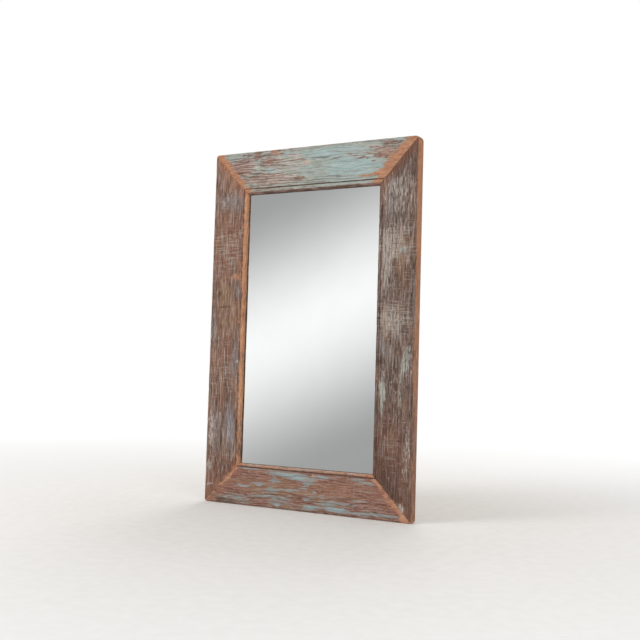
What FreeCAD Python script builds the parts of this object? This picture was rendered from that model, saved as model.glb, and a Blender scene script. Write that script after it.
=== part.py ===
import FreeCAD, Part
import math
import os
import re
from collections import namedtuple

import Sketcher

# A wall mirror in a mitred frame of old boards. Lengths are millimetres. The front faces -Y, +Z is up
# and the origin is the middle of the underside, halfway through the frame's thickness.

SIZES = {
    # The frame: four boards, mitred from the outer corner to the sight corner.
    "frame_width": 580,
    "frame_height": 914,
    "frame_thickness": 25,
    "top_rail_width": 114,  # each board from its outer edge to its sight edge
    "bottom_rail_width": 106,
    "left_stile_width": 106,
    "right_stile_width": 102.5,
    "top_left_radius": 8,  # worn corners, seen from the front
    "top_right_radius": 13,
    "bottom_right_radius": 7,
    "bottom_left_radius": 8,
    "front_arris_radius": 3.5,  # along the outer front edge
    "back_arris_radius": 2,
    # The bead along each sight edge and the quirk that sets it off from the flat face.
    "top_rail_bead_width": 15,
    "bottom_rail_bead_width": 8,
    "left_stile_bead_width": 13,
    "right_stile_bead_width": 9,
    "bead_radius_share": 0.5,  # of the bead's width
    "quirk_width": 2,
    "quirk_depth": 1.6,
    # The stepped rebate: a lip in front, then the glass, then the backing board.
    "lip_thickness": 9,
    "glass_rebate_width": 12,  # from the sight edge
    "board_rebate_width": 22,
    "glass_thickness": 4,
    "glass_back_gap": 0.3,  # between the glass and the backing board
    "glass_side_gap": 2,
    "glass_seam_width": 0.5,  # ground edge of the glass
    "board_thickness": 6,
    "board_side_gap": 1,
    # Two hidden dowels draw each mitre together.
    "dowel_diameter": 10,
    "dowel_length": 50,
    "dowel_chamfer_length": 1.5,
    "dowel_end_gap": 1,
    "outer_dowel_share": 0.34,  # place along the mitre, from the outer corner
    "inner_dowel_share": 0.68,
    "drive_gap": 0.04,  # radial gap of a driven dowel or screw in its hole
    # Flat steel corner braces, let into the back across each mitre.
    "brace_length": 72,
    "brace_width": 16,
    "brace_thickness": 2,
    "brace_nose_radius": 3,
    "brace_side_gap": 0.2,
    "brace_sink_depth": 0.1,  # its face below the wood
    "brace_near_screw_distance": 24,  # from the outer corner of the brace
    "brace_far_screw_distance": 60,
    # Wood screws. Flat heads sit in the braces, round heads on the backing board and on the straps.
    "flat_head_diameter": 7,
    "flat_shank_diameter": 3.6,
    "flat_screw_length": 14,
    "flat_head_gap": 0.2,
    "round_head_diameter": 6.4,
    "round_head_height": 2,
    "round_shank_diameter": 3.2,
    "board_screw_length": 12,
    "strap_screw_length": 18,
    "screw_point_length": 4,
    "screw_end_gap": 0.5,
    "screw_slot_width": 0.9,
    "screw_slot_depth": 0.9,
    "screw_hole_gap": 0.2,  # radial, where a screw passes freely
    "board_screw_distance": 5,  # from the edge of the backing board's seat
    # Strap hangers: a strip rolled round the straight side of a wire ring.
    "hanger_distance": 210,  # top of the frame to the ring's hinge line
    "strap_width": 14,
    "strap_length": 48,
    "strap_thickness": 1.2,
    "strap_nose_radius": 5,
    "strap_near_screw_distance": 27,  # from the hinge line
    "strap_far_screw_distance": 40,
    "ring_wire_diameter": 3.2,
    "ring_width": 24,  # between the middles of the ring's two sides
    "ring_length": 18,  # hinge line to the middle of the curved end
    "ring_bend_radius": 4,
    "ring_strap_gap": 0.3,
    "ring_eye_gap": 0.06,  # radial, in the rolled eye
}
RAIL_SCREWS = 3  # for the backing board, along each rail
STILE_SCREWS = 5

doc = FreeCAD.newDocument("framed_mirror")
sheet = doc.addObject("Spreadsheet::Sheet", "sizes")
for row, (name, number) in enumerate(SIZES.items(), 1):
    sheet.set(f"A{row}", name)
    sheet.set(f"B{row}", str(number))
    sheet.setAlias(f"B{row}", name)
doc.recompute()

# Depths and places that several pieces share, as expressions of the sizes.
FRONT = "-frame_thickness / 2"
BACK = "frame_thickness / 2"
LIP_BACK = f"{FRONT} + lip_thickness"
BOARD_FACE = f"{LIP_BACK} + glass_thickness + glass_back_gap"
BOARD_BACK = f"{BOARD_FACE} + board_thickness"
BRACE_FACE = f"{BACK} - brace_sink_depth"
BRACE_REACHES = ("brace_near_screw_distance", "brace_far_screw_distance")
STRAP_REACHES = ("strap_near_screw_distance", "strap_far_screw_distance")
HANGER_IN = "(min(left_stile_width; right_stile_width) - board_rebate_width) / 2"
HANGER_UP = "frame_height - hanger_distance"
EYE = "(strap_thickness + ring_strap_gap + ring_wire_diameter / 2)"  # hinge line above the wood

# Each board is drawn lying along X with its outer edge on the X axis and its sight edge below, then
# turned into place about its depth, clockwise from the top. first and last are the corners at its two
# ends, across and up where the middle of its outer edge goes.
Board = namedtuple("Board", "label length first last across up turn")
TOP_RAIL = Board("top_rail", "frame_width", "top_left", "top_right", "0", "frame_height", 0)
RIGHT_STILE = Board(
    "right_stile", "frame_height", "top_right", "bottom_right", "frame_width / 2", "frame_height / 2", 90
)
BOTTOM_RAIL = Board("bottom_rail", "frame_width", "bottom_right", "bottom_left", "0", "0", 180)
LEFT_STILE = Board(
    "left_stile", "frame_height", "bottom_left", "top_left", "-frame_width / 2", "frame_height / 2", -90
)
BOARDS = (TOP_RAIL, RIGHT_STILE, BOTTOM_RAIL, LEFT_STILE)
STILES = (RIGHT_STILE, LEFT_STILE)


def cells(text):
    """The expression text with every size read from the sheet."""
    return re.sub(r"[a-z_]+", lambda m: f"sizes.{m[0]}" if m[0] in SIZES else m[0], text)


def worth(text):
    """What the expression comes to now, to draw a sketch near its final place."""
    return float(sheet.evalExpression(text))


def bind(thing, prop, text):
    thing.setExpression(prop, cells(text))


def bind_base(thing, prop, across, depth, up):
    for axis, text in (("x", across), ("y", depth), ("z", up)):
        if text != "0":
            bind(thing, f"{prop}.Base.{axis}", text)


def new_body(label):
    made = doc.addObject("PartDesign::Body", label)
    made.Label = label
    return made


def origin_of(owner, role):
    return next(f for f in owner.Origin.OriginFeatures if f.Role == role)


def new_sketch(owner, role, name, lift="0"):
    """A sketch on one of the body's own planes, or lifted from it along the plane's normal."""
    made = owner.newObject("Sketcher::SketchObject", name)
    made.AttachmentSupport = (origin_of(owner, role), [""])
    made.MapMode = "FlatFace"
    bind_base(made, "AttachmentOffset", "0", "0", lift)
    return made


class Drawing:
    """Draws on a sketch with points held by bound dimensions. A coordinate that an earlier point
    already has is held level or upright with that point, and a zero is held on the axis."""

    def __init__(self, sketch):
        self.sketch = sketch
        self.known = {}

    def rule(self, kind, *what):
        return self.sketch.addConstraint(Sketcher.Constraint(kind, *what))

    def hold(self, geo, end, across, up):
        for way, text, axis, line in (
            ("DistanceX", across, -2, "Vertical"),
            ("DistanceY", up, -1, "Horizontal"),
        ):
            if text == "0":
                self.rule("PointOnObject", geo, end, axis)
            elif (way, text) in self.known:
                self.rule(line, geo, end, *self.known[way, text])
            else:
                held = self.rule(way, -1, 1, geo, end, worth(text))
                bind(self.sketch, f"Constraints[{held}]", text)
                self.known[way, text] = (geo, end)

    def radius(self, geo, text):
        held = self.rule("Radius", geo, worth(text))
        bind(self.sketch, f"Constraints[{held}]", text)

    def arc(self, a, b, radius, turn, far=False):
        """An arc from a to b: turn is 1 for anticlockwise and -1 for clockwise, and far takes the
        longer way round. Sketch arcs always run anticlockwise, so their ends may be swapped."""
        chord = b - a
        rise = math.sqrt(max(radius**2 - (chord.Length / 2) ** 2, 0))
        left = FreeCAD.Vector(-chord.y, chord.x, 0).normalize()
        middle = (a + b) / 2 + left * rise * turn * (-1 if far else 1)
        start, stop = (a, b) if turn > 0 else (b, a)
        angles = [math.atan2(p.y - middle.y, p.x - middle.x) for p in (start, stop)]
        if angles[1] < angles[0]:
            angles[1] += 2 * math.pi
        circle = Part.Circle(middle, FreeCAD.Vector(0, 0, 1), radius)
        geo = self.sketch.addGeometry(Part.ArcOfCircle(circle, *angles))
        return (geo, 1, 2) if turn > 0 else (geo, 2, 1)

    def loop(self, corners):
        """Runs from corner to corner and back to the first. Where more follows a corner's x and y,
        it is the radius, turn and far of the arc that leads to the next one."""
        spots = [FreeCAD.Vector(worth(x), worth(y), 0) for x, y, *_ in corners]
        ends = []
        for n, (x, y, *bend) in enumerate(corners):
            a, b = spots[n], spots[(n + 1) % len(spots)]
            if bend:
                ends.append(self.arc(a, b, worth(bend[0]), *bend[1:]))
            else:
                ends.append((self.sketch.addGeometry(Part.LineSegment(a, b)), 1, 2))
        for n, (geo, first, last) in enumerate(ends):
            next_geo, next_first, _ = ends[(n + 1) % len(ends)]
            self.rule("Coincident", geo, last, next_geo, next_first)
            x, y, *bend = corners[n]
            self.hold(geo, first, x, y)
            if bend:
                self.radius(geo, bend[0])

    def circle(self, across, up, radius):
        middle = FreeCAD.Vector(worth(across), worth(up), 0)
        geo = self.sketch.addGeometry(Part.Circle(middle, FreeCAD.Vector(0, 0, 1), worth(radius)))
        self.hold(geo, 3, across, up)
        self.radius(geo, radius)


def pad(owner, profile, name, length):
    made = owner.newObject("PartDesign::Pad", name)
    made.Profile = profile
    made.SideType = "Symmetric"
    bind(made, "Length", length)


def cut_through(owner, profile, name):
    made = owner.newObject("PartDesign::Pocket", name)
    made.Profile = profile
    made.Type = "ThroughAll"
    made.SideType = "Symmetric"


def cut_forward(owner, profile, name, depth):
    """Cuts from the profile towards the front, -Y."""
    made = owner.newObject("PartDesign::Pocket", name)
    made.Profile = profile
    made.Reversed = True
    bind(made, "Length", depth)


def drill(owner, name, spots, radius, face=None, depth=None):
    """Round holes at the spots, forward from face to a depth, or right through."""
    plan = new_sketch(owner, "XZ_Plane", f"{name}_plan", f"-({face})" if face else "0")
    drawing = Drawing(plan)
    for across, up in spots:
        drawing.circle(across, up, radius)
    if face:
        cut_forward(owner, plan, name, depth)
    else:
        cut_through(owner, plan, name)


def revolve(owner, profile, name):
    made = owner.newObject("PartDesign::Revolution", name)
    made.Profile = profile
    made.ReferenceAxis = (profile, ["H_Axis"])


def ease(owner, kind, name, size, chosen):
    """A Fillet or Chamfer on the edges of the body's newest feature whose box chosen accepts."""
    doc.recompute()
    last = owner.Tip
    edges = [f"Edge{n}" for n, edge in enumerate(last.Shape.Edges, 1) if chosen(edge.BoundBox)]
    made = owner.newObject(f"PartDesign::{kind}", name)
    made.Base = (last, edges)
    bind(made, "Radius" if kind == "Fillet" else "Size", size)


def same(*numbers):
    return max(numbers) - min(numbers) < 1e-4


def place(thing, across, depth, up, turn=0):
    """Puts a finished piece in the assembly, turned about the depth axis."""
    rotation = FreeCAD.Rotation(FreeCAD.Vector(0, 1, 0), turn)
    thing.Placement = FreeCAD.Placement(FreeCAD.Vector(), rotation)
    bind_base(thing, "Placement", across, depth, up)


def half_of(board):
    return f"{board.length} / 2"


def own_width(board):
    return f"{board.label}_width"


def next_width(board, sign):
    """The width of the board that is met at the first end, sign -1, or at the last end, sign 1."""
    place = BOARDS.index(board)
    return own_width(BOARDS[(place + sign) % len(BOARDS)])


def mitre_spots(board, sign):
    """Where the two dowels cross the mitre at one end of a board."""
    own, other = own_width(board), next_width(board, sign)
    shares = ("outer_dowel_share", "inner_dowel_share")
    return [(f"{sign} * ({half_of(board)} - {share} * {other})", f"-{share} * {own}") for share in shares]


def board_screw_spots(board):
    """The backing board's screws, evenly along the sight edge of one board."""
    count = STILE_SCREWS if board in STILES else RAIL_SCREWS
    up = f"-{own_width(board)} + board_rebate_width - board_screw_distance"
    first, last = next_width(board, -1), next_width(board, 1)
    pitch = f"({board.length} - {first} - {last}) / {count}"
    middle = f"({first} - {last}) / 2"
    return [(f"{middle} + {n - (count - 1) / 2} * {pitch}", up) for n in range(count)]


def brace_in(board, sign):
    """From the frame's edges to a corner brace, which lies midway on the narrower of its two boards."""
    narrower = f"min({own_width(board)}; {next_width(board, sign)})"
    return f"({narrower} - board_rebate_width - brace_width) / 2"


def brace_line(board, sign):
    return f"({brace_in(board, sign)} + brace_width / 2)"


def brace_outline(board, sign, gap=None):
    """The L of a corner brace at one end of a board, grown by gap for its recess."""
    grow, shrink = (f" + {gap}", f" - {gap}") if gap else ("", "")
    inset = brace_in(board, sign)
    out = f"{inset}{shrink}"
    bend = f"{inset} + brace_width{grow}"
    tip = f"{inset} + brace_length{grow}"
    path = [(out, out), (tip, out), (tip, bend), (bend, bend), (bend, tip), (out, tip)]
    return [(f"{sign} * ({half_of(board)} - ({x}))", f"-({z})") for x, z in path]


def shape_outline(body, board):
    """The mitred blank and its worn outer corners."""
    half = half_of(board)
    plan = new_sketch(body, "XZ_Plane", f"{board.label}_plan")
    Drawing(plan).loop(
        [
            (f"-{half}", "0"),
            (half, "0"),
            (f"{half} - {next_width(board, 1)}", f"-{own_width(board)}"),
            (f"-{half} + {next_width(board, -1)}", f"-{own_width(board)}"),
        ]
    )
    pad(body, plan, f"{board.label}_blank", "frame_thickness")

    corners = new_sketch(body, "XZ_Plane", f"{board.label}_corner_plan")
    drawing = Drawing(corners)
    for sign, corner in ((-1, board.first), (1, board.last)):
        radius = f"{corner}_radius"
        drawing.loop(
            [
                (f"{sign} * {half}", f"-{radius}", radius, sign),
                (f"{sign} * ({half} - {radius})", "0"),
                (f"{sign} * {half}", "0"),
            ]
        )
    cut_through(body, corners, f"{board.label}_worn_corners")


def shape_section(body, board):
    """What is run along the whole board: the stepped rebate, the rounded arrises and the bead."""
    label, sight, bead = board.label, f"-{own_width(board)}", f"{board.label}_bead_width"
    rebate = new_sketch(body, "YZ_Plane", f"{label}_rebate_section")
    Drawing(rebate).loop(
        [
            (LIP_BACK, sight),
            (BACK, sight),
            (BACK, f"{sight} + board_rebate_width"),
            (BOARD_FACE, f"{sight} + board_rebate_width"),
            (BOARD_FACE, f"{sight} + glass_rebate_width"),
            (LIP_BACK, f"{sight} + glass_rebate_width"),
        ]
    )
    cut_through(body, rebate, f"{label}_rebate")

    front, back, inner = worth(FRONT), worth(BACK), worth(sight)
    rim = -worth(f"max({board.first}_radius; {board.last}_radius)") / 2

    def on_rim(box, face):
        return same(box.YMin, box.YMax, face) and box.ZMin > rim

    def on_sight_edge(box):
        return same(box.YMin, box.YMax, front) and same(box.ZMin, box.ZMax, inner)

    arris = f"{label}_front_arris"
    ease(body, "Fillet", arris, "front_arris_radius", lambda box: on_rim(box, front))
    arris = f"{label}_back_arris"
    ease(body, "Fillet", arris, "back_arris_radius", lambda box: on_rim(box, back))
    ease(body, "Fillet", f"{label}_bead", f"{bead} * bead_radius_share", on_sight_edge)

    quirk = new_sketch(body, "YZ_Plane", f"{label}_quirk_section")
    floor = f"{FRONT} + quirk_depth"
    Drawing(quirk).loop(
        [
            (FRONT, f"{sight} + {bead} - quirk_depth", "quirk_depth", 1),
            (floor, f"{sight} + {bead}"),
            (floor, f"{sight} + {bead} + quirk_width"),
            (FRONT, f"{sight} + {bead} + quirk_width"),
        ]
    )
    cut_through(body, quirk, f"{label}_quirk")


def fit_braces(body, board):
    """A recess for the brace at each end, with holes for the two screws of its leg."""
    plan = new_sketch(body, "XZ_Plane", f"{board.label}_recess_plan", f"-({BACK})")
    drawing = Drawing(plan)
    for sign in (-1, 1):
        drawing.loop(brace_outline(board, sign, "brace_side_gap"))
    depth = "brace_thickness + brace_sink_depth"
    cut_forward(body, plan, f"{board.label}_brace_recess", depth)
    spots = [
        (f"{sign} * ({half_of(board)} - {brace_in(board, sign)} - {reach})", f"-{brace_line(board, sign)}")
        for sign in (-1, 1)
        for reach in BRACE_REACHES
    ]
    depth = "brace_sink_depth + flat_screw_length + screw_end_gap"
    radius = "flat_shank_diameter / 2 + drive_gap"
    drill(body, f"{board.label}_brace_screw_holes", spots, radius, BACK, depth)


def fit_backing(body, board):
    depth = "board_screw_length - board_thickness + screw_end_gap"
    radius = "round_shank_diameter / 2 + drive_gap"
    name = f"{board.label}_board_screw_holes"
    drill(body, name, board_screw_spots(board), radius, BOARD_FACE, depth)


def fit_hanger(body, board):
    """Holes for the strap's screws. The two stiles are turned opposite ways, and so are their ends."""
    up = -1 if board.turn > 0 else 1
    spots = [
        (f"{up} * ({HANGER_UP} - {reach} - {half_of(board)})", f"-{HANGER_IN}")
        for reach in STRAP_REACHES
    ]
    depth = "strap_screw_length - strap_thickness + screw_end_gap"
    radius = "round_shank_diameter / 2 + drive_gap"
    drill(body, f"{board.label}_strap_screw_holes", spots, radius, BACK, depth)


def bore_mitres(body, board):
    """Dowel holes, square to the mitres, at mid thickness."""
    square = math.degrees(math.pi / 4)  # the bound angle replaces it, so only the axis is kept
    for sign in (-1, 1):
        lean = FreeCAD.Rotation(FreeCAD.Vector(0, -sign, 0), square)
        angle = f"atan({own_width(board)} / {next_width(board, sign)})"
        for across, up in mitre_spots(board, sign):
            bore = body.newObject("PartDesign::SubtractiveCylinder", f"{board.label}_dowel_bore")
            bore.AttachmentSupport = (origin_of(body, "XY_Plane"), [""])
            bore.MapMode = "FlatFace"
            bore.AttachmentOffset = FreeCAD.Placement(FreeCAD.Vector(), lean)
            bind(bore, "AttachmentOffset.Rotation.Angle", angle)
            bind_base(bore, "AttachmentOffset", across, "0", up)
            bind(bore, "Radius", "dowel_diameter / 2 + drive_gap")
            bind(bore, "Height", "dowel_length / 2 + dowel_end_gap")


def frame_board(board):
    body = new_body(board.label)
    shape_outline(body, board)
    shape_section(body, board)
    fit_braces(body, board)
    fit_backing(body, board)
    if board in STILES:
        fit_hanger(body, board)
    bore_mitres(body, board)
    return body


def dowel(label):
    """A birch dowel along X, centred, with eased ends."""
    body = new_body(label)
    section = new_sketch(body, "XZ_Plane", f"{label}_section")
    end, radius = "dowel_length / 2", "dowel_diameter / 2"
    Drawing(section).loop(
        [
            (f"-{end}", "0"),
            (end, "0"),
            (end, f"{radius} - dowel_chamfer_length"),
            (f"{end} - dowel_chamfer_length", radius),
            (f"-{end} + dowel_chamfer_length", radius),
            (f"-{end}", f"{radius} - dowel_chamfer_length"),
        ]
    )
    revolve(body, section, f"{label}_turned")
    return body


def slot_head(body, label, top, reach):
    plan = new_sketch(body, "XZ_Plane", f"{label}_slot_plan", f"-({top})")
    side = "screw_slot_width / 2"
    corners = [(f"-{reach}", f"-{side}"), (reach, f"-{side}"), (reach, side), (f"-{reach}", side)]
    Drawing(plan).loop(corners)
    cut_forward(body, plan, f"{label}_slot", "screw_slot_depth")


def flat_screw(label):
    """A flat-head wood screw along Y: the top of its head at zero, its point towards -Y."""
    body = new_body(label)
    section = new_sketch(body, "YZ_Plane", f"{label}_section")
    shank, head = "flat_shank_diameter / 2", "(flat_head_diameter / 2 - flat_head_gap)"
    Drawing(section).loop(
        [
            ("-flat_screw_length", "0"),
            ("0", "0"),
            ("0", head),
            (f"{shank} - {head}", shank),
            ("-flat_screw_length + screw_point_length", shank),
        ]
    )
    revolve(body, section, f"{label}_turned")
    slot_head(body, label, "0", "flat_head_diameter")
    return body


def round_screw(label, length):
    """A round-head wood screw along Y: the seat of its head at zero, its point towards -Y."""
    body = new_body(label)
    section = new_sketch(body, "YZ_Plane", f"{label}_section")
    shank, head, height = "round_shank_diameter / 2", "round_head_diameter / 2", "round_head_height"
    dome = f"({head} * {head} + {height} * {height}) / (2 * {height})"
    Drawing(section).loop(
        [
            (f"-{length}", "0"),
            (height, "0", dome, 1),
            ("0", head),
            ("0", shank),
            (f"-{length} + screw_point_length", shank),
        ]
    )
    revolve(body, section, f"{label}_turned")
    slot_head(body, label, height, "round_head_diameter")
    return body


def group(label, pattern, spots, depth="0", lean=None):
    """Copies of one fastener as one named set of solids, at places in a board's own plan. lean turns
    each copy about the depth axis."""
    links = []
    for n, (across, up) in enumerate(spots, 1):
        link = doc.addObject("App::Link", f"{label}_{n}")
        link.LinkedObject = pattern
        if lean:
            start = FreeCAD.Rotation(FreeCAD.Vector(0, 1, 0), math.degrees(math.pi / 4))
            link.Placement = FreeCAD.Placement(FreeCAD.Vector(), start)
            bind(link, "Placement.Rotation.Angle", lean)
        bind_base(link, "Placement", across, depth, up)
        links.append(link)
    made = doc.addObject("Part::Compound", label)
    made.Label = label
    made.Links = links
    return made


def brace_screw_spots(board):
    """A corner brace's four screws: two along the board and two along its neighbour."""
    half, inset, line = half_of(board), brace_in(board, 1), brace_line(board, 1)
    along = [(f"{half} - {inset} - {reach}", f"-{line}") for reach in BRACE_REACHES]
    down = [(f"{half} - {line}", f"-{inset} - {reach}") for reach in BRACE_REACHES]
    return along + down


def corner_brace(label, board):
    body = new_body(label)
    plan = new_sketch(body, "XZ_Plane", f"{label}_plan", f"-({BRACE_FACE} - brace_thickness / 2)")
    Drawing(plan).loop(brace_outline(board, 1))
    pad(body, plan, f"{label}_sheet", "brace_thickness")

    tip_x = worth(f"{half_of(board)} - {brace_in(board, 1)} - brace_length")
    tip_z = worth(f"-{brace_in(board, 1)} - brace_length")

    def at_tip(box):
        upright = same(box.XMin, box.XMax) and same(box.ZMin, box.ZMax)
        return upright and (same(box.XMin, tip_x) or same(box.ZMin, tip_z))

    ease(body, "Fillet", f"{label}_nose", "brace_nose_radius", at_tip)
    radius = "(flat_shank_diameter / 2 + screw_hole_gap)"
    drill(body, f"{label}_holes", brace_screw_spots(board), radius)
    face, hole = worth(BRACE_FACE), worth(f"2 * {radius}")

    def rim_of_hole(box):
        return same(box.YMin, box.YMax, face) and same(box.XLength, box.ZLength, hole)

    ease(body, "Chamfer", f"{label}_countersinks", f"flat_head_diameter / 2 - {radius}", rim_of_hole)
    return body


def pane(label, reach, bottom, face, thickness):
    """A rectangular sheet behind the sight edges, reaching past three of them by the expression reach
    and past the bottom one to the height bottom, with its front at depth face."""
    body = new_body(label)
    plan = new_sketch(body, "XZ_Plane", f"{label}_plan", f"-({face} + {thickness} / 2)")
    left = f"-frame_width / 2 + left_stile_width - {reach}"
    right = f"frame_width / 2 - right_stile_width + {reach}"
    top = f"frame_height - top_rail_width + {reach}"
    Drawing(plan).loop([(left, bottom), (right, bottom), (right, top), (left, top)])
    pad(body, plan, f"{label}_sheet", thickness)
    return body


def mirror_plate(label):
    """The glass stands on the bottom rail's rebate, with room at the sides and the top."""
    reach = "(glass_rebate_width - glass_side_gap)"
    bottom = "bottom_rail_width - glass_rebate_width"
    body = pane(label, reach, bottom, LIP_BACK, "glass_thickness")
    seam = f"{label}_seam"
    ease(body, "Chamfer", seam, "glass_seam_width", lambda box: same(box.YMin, box.YMax))
    return body


def backing_board(label):
    reach = "(board_rebate_width - board_side_gap)"
    body = pane(label, reach, f"bottom_rail_width - {reach}", BOARD_FACE, "board_thickness")
    spots = []
    for board in BOARDS:
        for across, up in board_screw_spots(board):
            turned = {
                0: (across, up),
                90: (up, f"-({across})"),
                180: (f"-({across})", f"-({up})"),
                -90: (f"-({up})", across),
            }
            x, z = turned[board.turn]
            spots.append((f"{board.across} + {x}", f"{board.up} + {z}"))
    drill(body, f"{label}_holes", spots, "round_shank_diameter / 2 + screw_hole_gap")
    return body


def hanger_strap(label):
    """The strap lies on the wood at depth zero with its hinge line at height zero."""
    body = new_body(label)
    section = new_sketch(body, "YZ_Plane", f"{label}_section")
    meet = f"-sqrt(2 * {EYE} * strap_thickness - strap_thickness * strap_thickness)"
    drawing = Drawing(section)
    drawing.loop(
        [
            ("0", "-strap_length"),
            ("0", "0", EYE, -1, True),
            ("strap_thickness", meet),
            ("strap_thickness", "-strap_length"),
        ]
    )
    drawing.circle(EYE, "0", "ring_wire_diameter / 2 + ring_eye_gap")
    pad(body, section, f"{label}_rolled", "strap_width")
    foot = worth("-strap_length")

    def at_foot(box):
        return same(box.XMin, box.XMax) and same(box.ZMin, box.ZMax, foot)

    ease(body, "Fillet", f"{label}_nose", "strap_nose_radius", at_foot)
    spots = [("0", f"-{reach}") for reach in STRAP_REACHES]
    drill(body, f"{label}_holes", spots, "round_shank_diameter / 2 + screw_hole_gap")
    return body


def hanger_ring(label):
    """A closed wire loop hanging from its straight side, which turns in the strap's eye."""
    body = new_body(label)
    wire = new_sketch(body, "YZ_Plane", f"{label}_wire")
    Drawing(wire).circle(EYE, "0", "ring_wire_diameter / 2")
    path = new_sketch(body, "XZ_Plane", f"{label}_path", f"-{EYE}")
    side, bend = "ring_width / 2", "ring_bend_radius"
    bow = f"{side} - ring_length"
    Drawing(path).loop(
        [
            ("0", "0"),
            (f"{side} - {bend}", "0", bend, -1),
            (side, f"-{bend}"),
            (side, bow, side, -1),
            ("0", "-ring_length", side, -1),
            (f"-{side}", bow),
            (f"-{side}", f"-{bend}", bend, -1),
            (f"-{side} + {bend}", "0"),
        ]
    )
    bent = body.newObject("PartDesign::AdditivePipe", f"{label}_bent")
    bent.Profile = wire
    bent.Spine = path
    return body


dowel_pattern = dowel("dowel")
brace_screw_pattern = flat_screw("brace_screw")
board_screw_pattern = round_screw("board_screw", "board_screw_length")
strap_screw_pattern = round_screw("strap_screw", "strap_screw_length")
nodes = [mirror_plate("mirror_plate"), backing_board("backing_board")]

for board in BOARDS:
    corner = board.last
    lean = f"atan({next_width(board, 1)} / {own_width(board)})"
    spots = board_screw_spots(board)
    screws = group(f"backing_screws_{board.label}", board_screw_pattern, spots, BOARD_BACK)
    spots = mitre_spots(board, 1)
    dowels = group(f"mitre_dowels_{corner}", dowel_pattern, spots, lean=lean)
    brace = corner_brace(f"corner_brace_{corner}", board)
    spots = brace_screw_spots(board)
    fixings = group(f"brace_screws_{corner}", brace_screw_pattern, spots, BRACE_FACE)
    for made in (frame_board(board), screws, dowels, brace, fixings):
        place(made, board.across, "0", board.up, board.turn)
        nodes.append(made)

for side, sign in (("left", -1), ("right", 1)):
    spots = [("0", f"-{reach}") for reach in STRAP_REACHES]
    screws = group(f"{side}_hanger_screws", strap_screw_pattern, spots, "strap_thickness")
    strap = hanger_strap(f"{side}_hanger_strap")
    for made in (strap, hanger_ring(f"{side}_hanger_ring"), screws):
        place(made, f"{sign} * (frame_width / 2 - {HANGER_IN})", BACK, HANGER_UP)
        nodes.append(made)

doc.recompute()
for thing in doc.Objects:
    if {"Invalid", "Error"} & set(thing.State):
        raise RuntimeError(f"{thing.Label}: {thing.State}")
os.makedirs("parts", exist_ok=True)
for node in nodes:
    if node.Shape.isNull() or not node.Shape.isValid():
        raise RuntimeError(f"{node.Label} has no valid shape")
    node.Shape.exportStep(f"parts/{node.Label}.step")
    print(node.Label, len(node.Shape.Solids), "solids", round(node.Shape.Volume), "mm3")
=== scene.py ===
# %% [markdown]
# # A wall mirror in a frame of old painted boards
#
# Four weathered teak boards are mitred round a sheet of mirror glass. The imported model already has
# every piece at its real size, so this lesson only adds what a camera sees: the uneven, worn surface
# of the boards, their paint and grain, the glass, the plywood and the steel at the back.
#
# The loaded frame is in metres. The front faces -Y and +Z is up. Wear and patterns are written in
# millimetres, because that is how one measures a board on a bench.

# %% Load the frame
import math
from collections import namedtuple

import bmesh
import bpy
import numpy as np
from mathutils import Matrix, Vector, noise


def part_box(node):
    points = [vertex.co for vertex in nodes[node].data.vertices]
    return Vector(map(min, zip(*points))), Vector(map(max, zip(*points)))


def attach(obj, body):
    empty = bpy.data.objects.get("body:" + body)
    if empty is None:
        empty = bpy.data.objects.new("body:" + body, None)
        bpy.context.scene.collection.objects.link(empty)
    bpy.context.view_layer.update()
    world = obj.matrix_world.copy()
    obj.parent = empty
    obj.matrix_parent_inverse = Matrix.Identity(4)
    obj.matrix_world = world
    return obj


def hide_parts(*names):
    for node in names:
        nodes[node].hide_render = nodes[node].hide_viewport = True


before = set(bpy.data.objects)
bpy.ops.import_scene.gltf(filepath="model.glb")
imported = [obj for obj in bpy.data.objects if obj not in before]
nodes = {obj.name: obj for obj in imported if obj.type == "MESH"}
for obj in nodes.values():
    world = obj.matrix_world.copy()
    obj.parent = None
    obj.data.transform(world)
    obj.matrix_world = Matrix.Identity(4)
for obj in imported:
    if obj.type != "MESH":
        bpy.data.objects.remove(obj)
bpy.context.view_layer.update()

MM = 0.001

# %% [markdown]
# ## The camera
#
# The camera stands to the right of the mirror, a little above a third of its height, and looks left
# across it. It could be turned by trial and error, but a camera fitted to the four outer corners gives
# its place and its three axes directly. The 50 mm lens on a 36 mm sensor is Blender's default.

# %% Camera
CAMERA_PLACE = Vector((1.0548, -1.9566, 0.3510))
LOOK_ALONG = Vector((-0.4633, 0.8845, 0.0557)).normalized()
CAMERA_UP = Vector((0.0, -0.0628, 0.9980))


def aim(thing, place, along, up):
    """Turns an object so that its -Z looks along a direction, as cameras and lamps do."""
    right = along.cross(up).normalized()
    turned = Matrix((right, right.cross(along), -along)).transposed()
    thing.matrix_world = Matrix.Translation(place) @ turned.to_4x4()


lens = bpy.data.cameras.new("camera")
lens.lens = 50
lens.sensor_width = 36
camera = bpy.data.objects.new("camera", lens)
bpy.context.collection.objects.link(camera)
aim(camera, CAMERA_PLACE, LOOK_ALONG, CAMERA_UP)
bpy.context.scene.camera = camera
print("camera at", tuple(round(x, 3) for x in camera.location))

# %% [markdown]
# ## Helpers for materials
#
# Colours are written as the sRGB hex values that one reads off a screen, while shaders calculate with
# linear light, so one function converts them. Another adds a node: keyword arguments are its settings,
# and the dictionary fills its sockets, with a value or with a link from another node.

# %% Colour and node helpers


def colour(text):
    """Linear RGBA of an sRGB hex colour such as "#8a6f60"."""
    parts = [int(text[n : n + 2], 16) / 255 for n in (1, 3, 5)]
    linear = [p / 12.92 if p <= 0.04045 else ((p + 0.055) / 1.055) ** 2.4 for p in parts]
    return (*linear, 1.0)


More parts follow.
